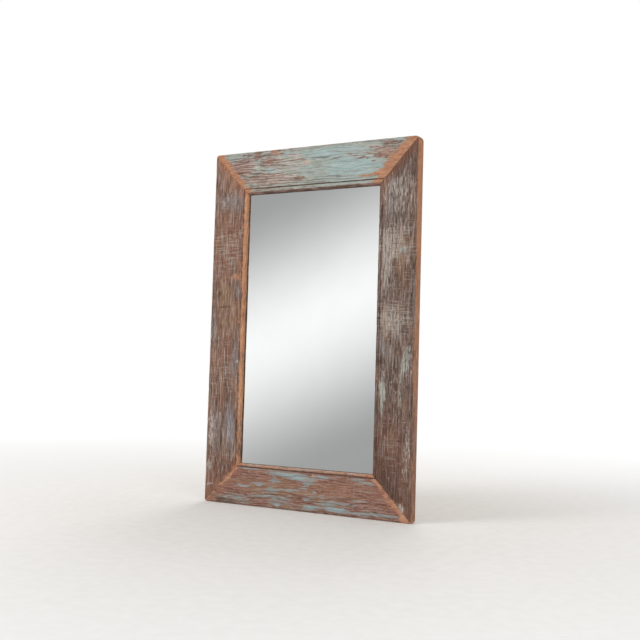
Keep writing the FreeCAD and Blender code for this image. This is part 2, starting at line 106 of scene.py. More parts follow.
def add(tree, kind, sockets=None, **settings):
    """Adds a shader node and returns its outputs."""
    made = tree.nodes.new(kind)
    for name, value in settings.items():
        setattr(made, name, value)
    for name, value in (sockets or {}).items():
        if isinstance(value, bpy.types.NodeSocket):
            tree.links.new(value, made.inputs[name])
        else:
            made.inputs[name].default_value = value
    return made.outputs


def new_material(name):
    """A material without nodes, and its node tree."""
    material = bpy.data.materials.new(name)
    material.use_nodes = True
    material.node_tree.nodes.clear()
    return material, material.node_tree


print("mid grey is", [round(c, 3) for c in colour("#808080")])

# %% [markdown]
# ## The studio
#
# A pale floor and soft light from the upper left, like a bright room. The mirror shows whatever stands
# in front of it, so the room matters: in it one sees a grey ceiling, a bright side and a grey floor,
# blended into each other. A card could be stood up there, but a sky that only reflections see gives the
# same from any side and casts no shadow. The camera sees plain white behind the object.

# %% Shades of the room
world = bpy.data.worlds.new("bright_room")
bpy.context.scene.world = world
world.use_nodes = True
room = world.node_tree
room.nodes.clear()
way = add(room, "ShaderNodeTexCoord")["Generated"]
# The bright side is seen as a band that runs downhill to the left, which the tilt adds.
BAND_TILT = (-0.56, 0.0, 1.0)
height = add(room, "ShaderNodeVectorMath", {0: way, 1: BAND_TILT}, operation="DOT_PRODUCT")[1]
# How high one looks, from the floor to the ceiling, and the shade seen there.
ROOM_SHADES = (
    (-0.70, "#d5d3d0"), (0.0, "#868686"), (0.15, "#a4a4a4"),
    (0.32, "#ffffff"), (0.478, "#a2a2a2"), (0.60, "#9c9c9c"),
)
LOWEST, HIGHEST = ROOM_SHADES[0][0], ROOM_SHADES[-1][0]
spread = add(room, "ShaderNodeMapRange", {0: height, 1: LOWEST, 2: HIGHEST})[0]
ramp = add(room, "ShaderNodeValToRGB", {0: spread})
ramp[0].node.color_ramp.interpolation = "EASE"
stops = ramp[0].node.color_ramp.elements
while len(stops) < len(ROOM_SHADES):
    stops.new(0.5)
for stop, (level, shade) in zip(stops, ROOM_SHADES):
    stop.position = (level - LOWEST) / (HIGHEST - LOWEST)
    stop.color = colour(shade)
print("the room has", len(ROOM_SHADES), "shades")

# %% What light, camera and reflections meet
AMBIENT = 0.62
REAR_BLEND = 0.4
# The steel at the back faces the other way, where the room is plain and pale.
rearward = add(room, "ShaderNodeSeparateXYZ", {0: way})[1]
behind = add(room, "ShaderNodeMapRange", {0: rearward, 1: 0.0, 2: REAR_BLEND})[0]
sockets = {0: behind, 6: ramp[0], 7: colour("#f4f3f1")}
surroundings = add(room, "ShaderNodeMix", sockets, data_type="RGBA")[2]
rays = add(room, "ShaderNodeLightPath")
light = add(room, "ShaderNodeBackground", {"Color": colour("#fdfbf8"), "Strength": AMBIENT})[0]
seen = add(room, "ShaderNodeBackground", {"Color": colour("#ffffff"), "Strength": 1.0})[0]
mirrored = add(room, "ShaderNodeBackground", {"Color": surroundings, "Strength": 1.0})[0]
mixed = add(room, "ShaderNodeMixShader", {0: rays["Is Glossy Ray"], 1: light, 2: mirrored})[0]
mixed = add(room, "ShaderNodeMixShader", {0: rays["Is Camera Ray"], 1: mixed, 2: seen})[0]
add(room, "ShaderNodeOutputWorld", {"Surface": mixed})
print("ambient light", AMBIENT)

# %% Lamps
# Place and disk size in metres, and power in watts.
LAMPS = {
    "key": ((-1.9, -2.6, 2.3), 1.6, 46.0),
    "fill": ((2.4, -2.2, 1.6), 1.8, 18.0),
    "rear": ((-0.6, 2.4, 2.0), 1.6, 22.0),
}
LAMP_TARGET = Vector((0.0, 0.0, 0.45))
UPRIGHT = Vector((0.0, 0.0, 1.0))
for name, (place, size, power) in LAMPS.items():
    lamp = bpy.data.lights.new(name, "AREA")
    lamp.shape = "DISK"
    lamp.size = size
    lamp.energy = power
    holder = bpy.data.objects.new(f"{name}_lamp", lamp)
    bpy.context.collection.objects.link(holder)
    aim(holder, Vector(place), (LAMP_TARGET - Vector(place)).normalized(), UPRIGHT)
    holder.visible_glossy = False
print(len(LAMPS), "lamps")

# %% Floor
REACH = 12.0
FLOOR_CORNERS = [(-REACH, -REACH, 0), (REACH, -REACH, 0), (REACH, REACH, 0), (-REACH, REACH, 0)]
floor_mesh = bpy.data.meshes.new("floor")
floor_mesh.from_pydata(FLOOR_CORNERS, [], [(0, 1, 2, 3)])
floor = bpy.data.objects.new("floor", floor_mesh)
bpy.context.collection.objects.link(floor)
floor.visible_glossy = False
matt_floor, tree = new_material("pale_floor")
floor_mesh.materials.append(matt_floor)
# Matt and faintly speckled near the mirror, and fading to white between these distances in metres.
FADE_FROM, FADE_TO = 0.5, 2.2
SPECKLE = 25.0
rays = add(tree, "ShaderNodeLightPath")
spot = add(tree, "ShaderNodeTexCoord")["Object"]
away = add(tree, "ShaderNodeVectorMath", {0: spot}, operation="LENGTH")[1]
fade = add(tree, "ShaderNodeMapRange", {0: away, 1: FADE_FROM, 2: FADE_TO})[0]
sockets = {"Vector": spot, "Scale": 1 / (SPECKLE * MM), "Detail": 4.0}
speckle = add(tree, "ShaderNodeTexNoise", sockets)[0]
sockets = {0: speckle, 6: colour("#e9e7e4"), 7: colour("#f6f5f3")}
tint = add(tree, "ShaderNodeMix", sockets, data_type="RGBA")[2]
matt = add(tree, "ShaderNodeBsdfDiffuse", {"Color": tint})[0]
white = add(tree, "ShaderNodeEmission", {"Color": colour("#ffffff"), "Strength": 1.0})[0]
far_seen = add(tree, "ShaderNodeMath", {0: fade, 1: rays["Is Camera Ray"]}, operation="MULTIPLY")[0]
surface = add(tree, "ShaderNodeMixShader", {0: far_seen, 1: matt, 2: white})[0]
add(tree, "ShaderNodeOutputMaterial", {"Surface": surface})
print("a floor of", 2 * REACH, "m")

# %% [markdown]
# ## The boards: a finer mesh of the same shape
#
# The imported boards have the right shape, but a few long faces can't carry dents and worn grain. A board
# could be modelled again, yet then its recesses, screw holes and mitres would have to be repeated. It is
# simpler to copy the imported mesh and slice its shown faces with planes, lengthwise and crosswise: the
# shape stays the same and gets points to move. Slicing in halves, and each half in halves, keeps every
# cut small and quick.

# %% Board table
Board = namedtuple("Board", "level side first last bead")
# Does it lie along X, which side of the middle it is on, the boards at its left or top end and at its
# right or bottom end, and how wide its bead is in millimetres.
BOARDS = {
    "top_rail": Board(True, 1, "left_stile", "right_stile", 15.0),
    "bottom_rail": Board(True, -1, "left_stile", "right_stile", 8.0),
    "left_stile": Board(False, -1, "top_rail", "bottom_rail", 13.0),
    "right_stile": Board(False, 1, "top_rail", "bottom_rail", 9.0),
}
SPANS = {name: [(b - a) / MM for a, b in zip(*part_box(name))] for name in BOARDS}
OWN_WIDTH = {name: SPANS[name][2 if board.level else 0] for name, board in BOARDS.items()}
WIDTH = (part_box("right_stile")[1][0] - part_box("left_stile")[0][0]) / MM
HEIGHT = (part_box("top_rail")[1][2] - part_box("bottom_rail")[0][2]) / MM
THICK = SPANS["top_rail"][1]
# How thick the wood is in front of the glass, and how wide the quirk, the groove beside the bead, is.
LIP, QUIRK = 9.0, 2.0
# The worn outer corners, by their sides along X and Z.
CORNER_RADII = {(-1, 1): 8.0, (1, 1): 13.0, (1, -1): 7.0, (-1, -1): 8.0}
print("board widths", {name: round(own, 1) for name, own in OWN_WIDTH.items()})

# %% Places on a board
TINY = 1e-9


def board_place(name, points):
    """Millimetres along (from the left or the top), across (from the outer edge) and behind the front."""
    board = BOARDS[name]
    x, y, z = (np.asarray(points).T / MM).reshape(3, -1)
    along = x + WIDTH / 2 if board.level else HEIGHT - z
    middle_off = z - HEIGHT / 2 if board.level else x
    across = (HEIGHT if board.level else WIDTH) / 2 - board.side * middle_off
    return along, across, y + THICK / 2


def inside_outline(points):
    """How far points lie inside the frame's outline with its worn corners, and the way further in."""
    x, _, z = (np.asarray(points).T / MM).reshape(3, -1)
    z = z - HEIGHT / 2
    sx, sz = np.where(x < 0, -1, 1), np.where(z < 0, -1, 1)
    radius = np.array([CORNER_RADII[a, b] for a, b in zip(sx, sz)])
    qx, qz = np.abs(x) - WIDTH / 2 + radius, np.abs(z) - HEIGHT / 2 + radius
    px, pz = np.maximum(qx, 0), np.maximum(qz, 0)
    rounded = np.hypot(px, pz)
    depth = radius - rounded - np.minimum(np.maximum(qx, qz), 0)
    in_corner = (qx > 0) & (qz > 0)
    nx = np.where(in_corner, px / np.maximum(rounded, TINY), qx >= qz)
    nz = np.where(in_corner, pz / np.maximum(rounded, TINY), qx < qz)
    return depth, -nx * sx, -nz * sz


corner_place = board_place("left_stile", [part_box("left_stile")[0]])
print("the left stile's lower outer corner is at", [round(float(p[0]), 1) for p in corner_place], "mm")

# %% Slice a board
WAYS = {True: (Vector((1, 0, 0)), Vector((0, 0, 1))), False: (Vector((0, 0, 1)), Vector((1, 0, 0)))}
SLICE_ALONG, SLICE_ACROSS = 3.0, 1.6
# Round a nail hole the slices are closer.
NAIL_SLICES = (-2.2, -1.1, 0.0, 1.1, 2.2)
# The outer edge's faces lie within this many millimetres of the outline.
EDGE_ZONE = 3.0
# FLAT and FORWARD are parts of a face's normal along Y, and BROAD is an area in square metres.
FLAT, FORWARD, BROAD = 0.999, 0.05, 0.01
HAIR = 0.01


def slice_in_halves(bm, faces, way, cuts):
    """Cuts the faces at the middle one of the cuts, then each half at its own."""
    if not cuts or not faces:
        return list(faces)
    middle = len(cuts) // 2
    part = list({e for f in faces for e in f.edges}) + list({v for f in faces for v in f.verts})
    made = bmesh.ops.bisect_plane(
        bm, geom=list(faces) + part, dist=1e-7, plane_co=way * cuts[middle], plane_no=way
    )
    whole = [g for g in made["geom"] if isinstance(g, bmesh.types.BMFace)]
    low = [f for f in whole if f.calc_center_median().dot(way) < cuts[middle]]
    high = [f for f in whole if f.calc_center_median().dot(way) >= cuts[middle]]
    low = slice_in_halves(bm, low, way, cuts[:middle])
    return low + slice_in_halves(bm, high, way, cuts[middle + 1 :])


def sliced_board(name, nails):
    """A copy of a packed board whose front, bead and outer edge are sliced into small faces."""
    level = BOARDS[name].level
    lengthwise, crosswise = WAYS[level]
    sight_zone = OWN_WIDTH[name] - BOARDS[name].bead - QUIRK
    bm = bmesh.new()
    bm.from_mesh(nodes[name].data)
    bmesh.ops.remove_doubles(bm, verts=bm.verts, dist=1e-6)
    bmesh.ops.dissolve_limit(bm, angle_limit=0.002, verts=bm.verts, edges=bm.edges)
    bm.normal_update()
    low, high = (np.array(corner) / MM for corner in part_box(name))
    broad = [f for f in bm.faces if f.normal.y < -FLAT and f.calc_area() > BROAD]
    axis = 2 if level else 0
    steps = np.arange(low[axis], high[axis], SLICE_ACROSS)[1:]
    slice_in_halves(bm, broad, crosswise, list(steps * MM))

    def shown(face):
        _, across, behind = board_place(name, [face.calc_center_median()])
        depth, *_ = inside_outline([face.calc_center_median()])
        edge_face = abs(face.normal.y) < FLAT and depth[0] < EDGE_ZONE
        nose = behind[0] < LIP - HAIR and across[0] > sight_zone
        return face.normal.y < -FORWARD or edge_face or nose

    axis = 0 if level else 2
    steps = np.arange(low[axis], high[axis], SLICE_ALONG)[1:]
    finer = [place + off for place in nails for off in NAIL_SLICES]
    steps = sorted({round(float(s), 3) for s in (*steps, *finer)})
    slice_in_halves(bm, [f for f in bm.faces if shown(f)], lengthwise, [s * MM for s in steps])
    return bm


print("faces are cut every", SLICE_ALONG, "mm along and", SLICE_ACROSS, "mm across")

# %% [markdown]
# ## Wear
#
# Old boards are never flat: the soft grain has weathered away between the hard, the outer edge is
# rubbed round and bruised, and old nails left holes. A sculpted brush could do it, but rules are
# repeatable: each point is pushed into the wood by a few tenths of a millimetre, by noise stretched
# along the grain, more on the edges, and by a dent at each nail. Wear only takes wood away, so the board
# stays inside its measured size.

# %% Nail holes, splits and unevenness
# Along and across each board, in millimetres.
NAIL_HOLES = {
    "top_rail": ((130, 25), (228, 7), (186, 14), (452, 30)),
    "bottom_rail": ((96, 30), (300, 66), (500, 40)),
    "left_stile": ((407, 68), (118, 40), (700, 22)),
    "right_stile": ((196, 30), (542, 85), (330, 64)),
}
NAIL_RADIUS, NAIL_DEPTH = 2.0, 1.9
# Splits along the grain: from, to, place across at both ends, width and depth.
SPLITS = {
    "top_rail": (
        (100, 230, 74, 88, 1.5, 0.9), (215, 430, 31, 36, 1.3, 0.6), (300, 440, 96, 92, 1.4, 0.8),
    ),
    "bottom_rail": ((60, 250, 36, 40, 1.4, 0.8), (320, 520, 62, 56, 1.4, 0.7)),
    "left_stile": ((230, 420, 30, 34, 1.4, 0.8), (560, 790, 58, 64, 1.4, 0.7)),
    "right_stile": ((120, 330, 58, 52, 1.4, 0.8), (480, 700, 66, 70, 1.4, 0.8)),
}
# A split wanders this far from its straight line, in bends of this length.
SPLIT_WANDER, SPLIT_BEND = 1.6, 28
# The noise of each board starts somewhere else.
SEEDS = {name: 7.3 * n for n, name in enumerate(BOARDS, 1)}


def uneven(along, across, size_along, size_across, seed):
    """Smooth noise from -1 to 1 with lumps of the given size in millimetres."""
    return np.array(
        [
            noise.noise(Vector((a / size_along + seed, c / size_across - seed, seed)))
            for a, c in zip(along, across)
        ]
    )


print({name: len(holes) for name, holes in NAIL_HOLES.items()}, "nail holes")

# %% How deep the wear is
Wear = namedtuple("Wear", "long wide start deep")
# Lumps along and across in millimetres, the noise from which wood is gone, and how deep that goes.
GRAIN = Wear(55, 3.4, -0.25, 0.20)
SWELL = Wear(130, 42, -1.0, 0.30)
CHIPS = Wear(17, 9, 0.15, 1.2)
BRUISES = Wear(24, 30, 0.1, 1.3)
# The outer edge is chipped and rubbed this far in, and every bit of it is rubbed by this much.
RIM_REACH, RIM_RUB = 10, 0.1
# Wear fades out towards the glass and the back over this length.
WEAR_FADE = 2


def taken(wear, along, across, seed):
    """How much wood one kind of wear takes at each point."""
    lumps = uneven(along, across, wear.long, wear.wide, seed)
    return wear.deep * np.maximum(lumps - wear.start, 0)


def worn_depth(name, points):
    """How far each point is worn in, in millimetres."""
    along, across, behind = board_place(name, points)
    depth, *_ = inside_outline(points)
    sight = OWN_WIDTH[name] - across
    seed = SEEDS[name]
    rim = np.clip(1 - np.hypot(depth, behind) / RIM_REACH, 0, 1)
    nose = np.clip(1 - sight / BOARDS[name].bead, 0, 1)
    amount = taken(GRAIN, along, across, seed) + taken(SWELL, along, across, seed + 2)
    amount += rim * (RIM_RUB + taken(CHIPS, along, depth + behind, seed + 4))
    amount += nose * taken(BRUISES, along, across, seed + 6)
    for a, c in NAIL_HOLES[name]:
        amount += NAIL_DEPTH * np.exp(-((np.hypot(along - a, across - c) / NAIL_RADIUS) ** 4))
    for first, last, start, stop, width, deep in SPLITS[name]:
        share = np.clip((along - first) / (last - first), 0, 1)
        wander = SPLIT_WANDER * uneven(along, along * 0, SPLIT_BEND, 1, seed + 8)
        line = start + (stop - start) * share + wander
        amount += deep * np.sin(math.pi * share) * np.exp(-(((across - line) / width) ** 2))
    at_front = np.clip((LIP - behind) / WEAR_FADE, 0, 1)
    at_edge = np.clip((THICK - WEAR_FADE - behind) / (2 * WEAR_FADE), 0, 1) * (depth < EDGE_ZONE)
    return amount * np.maximum(at_front, at_edge)


print("the grain is worn by up to about", GRAIN.deep * (1 - GRAIN.start), "mm")

# %% Which way the wood is pushed
# The core starts this far inside the outer edge, and half a bead and a margin inside the nose.
EDGE_CORE, NOSE_MARGIN = 4.5, 1


def way_in(name, points):
    """From each point towards the nearest point of the board's core, inside its rounded edges."""
    _, across, behind = board_place(name, points)
    depth, in_x, in_z = inside_outline(points)
    board = BOARDS[name]
    sight = OWN_WIDTH[name] - across
    nose_core = board.bead / 2 + NOSE_MARGIN
    to_core = np.maximum(EDGE_CORE - depth, 0)
    from_sight = np.maximum(nose_core - sight, 0)
    core_depth = np.where(sight < nose_core, nose_core, EDGE_CORE)
    out = (0, 0, 1) if board.level else (1, 0, 0)
    way = np.stack([in_x * to_core, np.maximum(core_depth - behind, 0), in_z * to_core], 1)
    way += np.outer(from_sight * board.side, out)
    length = np.linalg.norm(way, axis=1)
    return way / np.maximum(length, TINY)[:, None]


print("the core starts", EDGE_CORE, "mm inside the outer edge")

# %% [markdown]
# ## Where the paint, the weather and the sander have been
#
# The finish differs from place to place: blue-green paint holds on the top board and in the valleys of
# the bottom one, the mitres and one bead were sanded back to orange wood, the stiles show grey weather,
# saw marks and pale flecks. Painting this by hand would need an image. Instead each finish is a number
# on every point of the mesh, made of a base and of soft oval spots placed in board millimetres, and the
# material's own fine patterns make the ragged edges.

# %% Finish of the top rail
# Each finish has a base share and spots: along, across, half length, half width in mm, share added.
FINISH = {}
# Blue-green paint holds best on the right half. Red and tan wood shows on the left.
FINISH["top_rail"] = {
    "red": (0.30, (
        (86, 36, 34, 24, 0.5), (75, 52, 30, 8, 0.4), (129, 13, 10, 13, 0.6), (169, 31, 30, 9, 0.6),
        (430, 45, 50, 20, 0.4), (490, 34, 40, 18, 0.5),
    )),
    "tan": (0.20, ((170, 84, 90, 13, 0.5), (232, 40, 50, 34, 0.35), (182, 8, 12, 9, 0.6))),
    "grey": (0.25, ((75, 14, 45, 10, 0.5), (130, 48, 18, 18, 0.3))),
    "dark": (0.15, (
        (80, 55, 28, 3, 0.5), (136, 19, 5, 3, 0.6), (230, 3, 10, 3, 0.6), (96, 74, 30, 3, 0.4),
        (425, 43, 30, 6, 0.2),
    )),
    "pale": (0.20, ((170, 82, 80, 14, 0.2),)),
    "kerf": (-0.3, ()),
    "fleck": (0.10, (
        (104, 40, 26, 20, 0.25), (480, 30, 44, 26, 0.36), (170, 84, 80, 14, 0.2),
        # This long spot on the bead is pale flecks and a painted highlight on the bead's lit front.
        (300, 107, 230, 6, 0.4),
    )),
    "paint": (0.53, (
        (360, 50, 140, 62, 0.39), (404, 62, 54, 18, 0.3), (56, 9, 24, 8, 0.2), (132, 39, 10, 16, 0.25),
        (178, 55, 20, 6, 0.35), (86, 36, 32, 22, -0.32), (78, 54, 30, 6, -0.35),
        (129, 13, 9, 12, -0.42), (169, 31, 28, 8, -0.42), (182, 8, 11, 9, -0.5), (230, 3, 10, 3, -0.4),
        (156, 74, 54, 13, -0.18), (258, 81, 14, 5, -0.45), (220, 78, 60, 12, -0.18),
        (270, 43, 14, 5, -0.3), (316, 33, 22, 6, -0.25), (396, 30, 12, 3, -0.6), (412, 36, 9, 4, -0.55),
        (427, 42, 12, 3.5, -0.65), (443, 47, 8, 4, -0.55), (456, 55, 9, 3.5, -0.6),
        (448, 31, 10, 3, -0.5), (470, 45, 11, 3, -0.55), (466, 22, 12, 3, -0.45),
        (490, 35, 32, 14, -0.36), (505, 12, 24, 8, -0.26),
    )),
    "blue": (0.22, (
        (395, 58, 90, 50, 0.36), (404, 62, 54, 18, 0.3), (300, 22, 70, 14, 0.4), (178, 55, 20, 6, 0.6),
        (132, 39, 10, 16, 0.35), (250, 60, 40, 16, 0.2), (212, 13, 12, 7, 0.4), (400, 20, 60, 12, 0.2),
        (540, 10, 22, 7, 0.5), (500, 34, 40, 16, -0.2),
    )),
    "scrape": (0.14, (
        (215, 40, 66, 44, 0.36), (100, 40, 50, 30, 0.28), (110, 28, 8, 12, 0.3),
        (170, 80, 90, 14, 0.35), (270, 43, 13, 5, 0.5), (440, 26, 60, 18, 0.3),
    )),
    "lines": (0.0, (
        (160, 76, 80, 14, 0.38), (290, 36, 110, 8, 0.28), (150, 45, 90, 36, 0.2),
        (420, 28, 70, 14, 0.14), (330, 88, 90, 9, 0.3),
    )),
    "sanded": (0.0, (
        (182, 8, 10, 8, 0.5), (450, 88, 32, 3.5, 0.75), (472, 82, 14, 8, 0.7), (270, 43, 7, 4, 0.3),
        (497, 36, 30, 12, 0.35),
    )),
}
print("top rail:", len(FINISH["top_rail"]), "finishes")

# %% Finish of the bottom rail
# Red wood, with paint left in flakes along the grain and grey dirt at the lower left.
FINISH["bottom_rail"] = {
    "red": (0.55, ((150, 75, 60, 20, 0.2), (420, 60, 110, 34, 0.3))),
    "tan": (0.25, ((300, 60, 120, 40, 0.25),)),
    "grey": (0.15, ((92, 16, 58, 12, 0.6), (300, 8, 200, 7, 0.25))),
    "dark": (0.22, (
        (56, 7, 40, 7, 0.6), (300, 1, 290, 3, 0.35), (240, 36, 90, 4, 0.2), (120, 72, 44, 18, 0.16),
    )),
    "pale": (0.15, ((400, 60, 100, 30, 0.1),)),
    "kerf": (0.05, ((430, 70, 60, 26, 0.2),)),
    # The long spot on the bead is light flecks and a painted highlight, as the bead faces up to the
    # light.
    "fleck": (0.16, ((100, 16, 60, 12, 0.15), (430, 20, 90, 14, 0.12), (290, 106, 250, 6, 0.7))),
    "paint": (0.26, (
        (136, 96, 44, 3.5, 0.55), (230, 89, 40, 8, 0.6), (280, 83, 40, 9, 0.6), (309, 76, 14, 8, 0.6),
        (303, 69, 9, 5, 0.5), (291, 60, 10, 4, 0.55), (268, 52, 16, 3, 0.5), (250, 50, 34, 3.5, 0.45),
        (209, 70, 16, 5, 0.55), (164, 58, 20, 5, 0.55), (120, 49, 26, 3.5, 0.45),
        (203, 46, 18, 4, 0.55), (342, 87, 19, 5, 0.65), (437, 91, 19, 3.5, 0.6),
        (466, 85, 17, 3.5, 0.5), (321, 52, 8, 4, 0.45), (198, 28, 62, 4.5, 0.55),
        (190, 40, 34, 6, 0.25), (232, 18, 40, 6, 0.25), (92, 16, 58, 11, 0.25), (216, 11, 11, 5, 0.7),
        (314, 13, 28, 7, 0.6), (300, 33, 16, 5, 0.45), (379, 15, 34, 7, 0.65), (380, 30, 16, 4.5, 0.55),
        (350, 25, 24, 5, 0.4), (418, 29, 24, 3, 0.5), (447, 40, 22, 2.5, 0.45), (472, 11, 80, 6, 0.45),
        (340, 40, 40, 5, 0.2), (300, 104, 280, 7, -0.6),
    )),
    "blue": (0.0, (
        (280, 84, 34, 10, 0.6), (230, 89, 30, 8, 0.5), (314, 13, 22, 8, 0.6), (379, 15, 28, 8, 0.8),
        (216, 11, 9, 6, 0.7), (342, 87, 14, 5, 0.6), (205, 28, 46, 5, 0.5), (470, 11, 60, 6, 0.4),
    )),
    "scrape": (0.22, ((400, 60, 110, 30, 0.08), (170, 76, 50, 14, 0.1))),
    "lines": (0.10, ((240, 36, 120, 12, 0.15), (420, 40, 90, 20, 0.1))),
    "sanded": (0.0, (
        (320, 90, 3, 8, 0.8), (30, 6, 26, 5, 0.25), (390, 62, 60, 14, 0.2), (507, 68, 6, 8, -0.55),
        (519, 54, 6, 7, -0.6), (529, 42, 6, 6, -0.5), (540, 26, 5, 5, -0.4),
    )),
}
print("bottom rail:", len(FINISH["bottom_rail"]), "finishes")

# %% Finish of the left stile
# Red and tan wood under grey weather, crossed by saw marks, with a bluish haze low down.
FINISH["left_stile"] = {
    "red": (0.40, (
        (230, 56, 90, 46, 0.5), (300, 20, 60, 20, 0.3), (520, 52, 44, 18, 0.5), (630, 44, 60, 24, 0.5),
        (855, 56, 60, 50, 0.5), (130, 50, 24, 40, -0.3), (720, 60, 80, 40, -0.2),
    )),
    "tan": (0.15, (
        (375, 40, 34, 30, 0.7), (450, 46, 36, 22, 0.6), (228, 27, 50, 8, 0.5), (620, 40, 60, 6, 0.5),
        (45, 30, 30, 30, 0.3),
    )),
    "grey": (0.22, (
        (130, 54, 26, 44, 0.5), (365, 80, 26, 16, 0.4), (535, 80, 56, 10, 0.6), (715, 70, 80, 18, 0.6),
        (730, 28, 72, 22, 0.45), (462, 12, 62, 12, 0.35),
    )),
    "dark": (0.28, (
        (406, 42, 1.8, 24, 0.9), (375, 26, 12, 14, 0.3), (600, 58, 60, 10, 0.3), (500, 30, 40, 14, 0.2),
        (760, 46, 60, 8, 0.2), (770, 100, 90, 8, 0.3), (840, 60, 40, 26, 0.4),
    )),
    "pale": (0.22, ((240, 50, 40, 50, 0.1), (560, 30, 90, 26, 0.12), (735, 60, 80, 30, 0.12))),
    "kerf": (0.10, ((250, 54, 76, 70, 0.34), (570, 50, 70, 70, 0.2), (130, 54, 26, 44, 0.15))),
    "fleck": (0.08, (
        (130, 34, 18, 16, 0.35), (110, 64, 24, 30, 0.15), (728, 14, 62, 10, 0.45),
        (820, 12, 13, 9, 0.55), (735, 34, 64, 12, 0.25), (262, 50, 2, 60, 0.4), (300, 50, 2, 60, 0.3),
        (549, 87, 3, 8, 0.9), (868, 18, 1.8, 18, 1.0), (470, 8, 60, 8, 0.2),
    )),
    "paint": (-0.5, ((820, 13, 22, 7, 0.5),)),
    "blue": (-0.4, ((715, 72, 80, 16, 0.95), (130, 54, 26, 40, 0.5), (535, 82, 50, 8, 0.5))),
    "scrape": (-0.2, (
        (28, 14, 16, 12, 0.9), (55, 36, 17, 13, 0.9), (83, 60, 17, 13, 0.9), (108, 84, 15, 13, 0.9),
    )),
    "lines": (0.12, ((450, 40, 80, 30, 0.1),)),
    "sanded": (0.0, (
        (327, 72, 8, 22, 0.62), (310, 88, 20, 8, 0.4), (850, 92, 70, 12, 0.4), (408, 68, 5, 5, 0.6),
        (160, 2, 14, 5, 0.4), (770, 100, 70, 10, -0.45),
    )),
}
print("left stile:", len(FINISH["left_stile"]), "finishes")

# %% Finish of the right stile
# The darkest board: pale flecks, saw marks and greenish streaks, and red wood below.
FINISH["right_stile"] = {
    "red": (0.28, (
        (820, 55, 130, 70, 0.6), (100, 84, 60, 12, 0.5), (250, 30, 60, 24, 0.3), (700, 66, 50, 40, 0.4),
    )),
    "tan": (0.10, ((255, 50, 50, 50, 0.55), (440, 56, 40, 40, 0.2))),
    "grey": (0.24, ((274, 34, 12, 16, 0.7), (508, 82, 26, 12, 0.6), (150, 70, 60, 24, 0.3))),
    "dark": (0.24, (
        (540, 87, 8, 12, 0.7), (350, 45, 60, 40, 0.14), (560, 50, 100, 8, 0.3), (700, 70, 60, 10, 0.2),
        (850, 76, 60, 32, 0.7), (880, 46, 30, 20, 0.6), (580, 20, 60, 9, 0.3), (610, 58, 70, 10, 0.25),
    )),
    "pale": (0.14, (
        (130, 44, 60, 50, 0.28), (252, 60, 46, 56, 0.38), (445, 64, 42, 36, 0.45),
        (330, 80, 60, 18, 0.45), (560, 60, 110, 46, 0.15), (860, 64, 70, 40, -0.2),
    )),
    "kerf": (0.09, (
        (252, 60, 52, 60, 0.40), (438, 58, 46, 60, 0.42), (345, 45, 60, 50, 0.1),
        (740, 50, 60, 50, 0.14),
    )),
    "fleck": (0.10, (
        (130, 60, 60, 50, 0.3), (250, 66, 44, 44, 0.3), (445, 60, 42, 40, 0.28),
        (535, 16, 54, 14, 0.28), (612, 81, 68, 9, 0.5), (750, 17, 64, 9, 0.36), (884, 28, 14, 11, 0.95),
        (330, 80, 60, 18, 0.3), (620, 42, 90, 24, 0.16),
    )),
    "paint": (-0.5, ()),
    "blue": (-0.4, (
        (530, 20, 58, 16, 0.84), (610, 36, 90, 12, 0.84), (590, 58, 80, 6, 0.75), (614, 81, 74, 9, 1.0),
        (330, 82, 50, 12, 0.65), (130, 70, 40, 20, 0.6), (250, 60, 40, 44, 0.5), (445, 66, 40, 34, 0.5),
        (274, 34, 12, 14, 0.7), (504, 82, 28, 12, 0.68), (890, 24, 14, 8, 0.6),
    )),
    "scrape": (-0.2, ()),
    "lines": (0.10, ((600, 46, 90, 30, 0.2),)),
    "sanded": (0.0, ((120, 2, 120, 6, 0.2), (480, 0, 130, 9, -0.2), (800, 0, 190, 9, -0.5))),
}
total = sum(len(spots) for looks in FINISH.values() for _, spots in looks.values())
print("right stile:", len(FINISH["right_stile"]), "finishes, and", total, "spots in all")

# %% Sanding, and the strength of the painted shade
SandingAndShade = namedtuple("SandingAndShade", "first last edge bead quirk under")
# How far the wood is sanded beside the mitres at the first and last end, in mm at the outer and the
# inner corner, the sanded shares of the outer edge and the bead, and how dark the painted shade in the
# quirk and on the bead's underside is.
SANDING_AND_SHADE = {
    "top_rail": SandingAndShade((18, 13), (27, 24), 0.25, 0.0, 0.6, 1.0),
    "bottom_rail": SandingAndShade((2, 11), (19, 11), 0.20, 0.60, 0.8, 0.0),
    "left_stile": SandingAndShade((3, 4), (0, 8), 0.25, 0.95, 0.1, 0.0),
    "right_stile": SandingAndShade((0, 0), (2, 2), 0.90, 0.10, 0.3, 0.4),
}
# The sander left ragged borders, moved by up to this many millimetres in large and in small lumps.
RAGGED, LARGE_LUMPS, SMALL_LUMPS = 6, (24, 12), (9, 5)
# A mitre's band has this share and a border this soft. One that is narrower than this fades away.
BAND_SHARE, BAND_SOFT, BAND_LEAST = 0.9, 5, 3
# Hands and cloths rubbed the weather off, and the red wood bare, this far from the mitres.
RUBBED_REACH, RUBBED_RED, RUBBED_WEATHER = 14, 0.9, 0.3
# The outer edge is sanded this far in, with a border this soft.
EDGE_REACH, EDGE_SOFT = 4.0, 2
# The outer sides, which lie within this skin, are bare wood from this depth on.
SIDE_SHARE, SIDE_SKIN, SIDE_FROM = 0.7, 1, 3
# The bead is worn by this share, more or less by so much in patches of this size, with a soft border.
BEAD_SHARE, BEAD_PATCHY, BEAD_PATCH, BEAD_SOFT = 0.95, 0.5, 50, 4


def mitre_gaps(name, along, across):
    """How far points are from the mitres at the first and the last end, square to them."""
    board, own = BOARDS[name], OWN_WIDTH[name]
    length = WIDTH if board.level else HEIGHT
    return [
        (gone * own - across * OWN_WIDTH[other]) / math.hypot(own, OWN_WIDTH[other])
        for gone, other in ((along, board.first), (length - along, board.last))
    ]


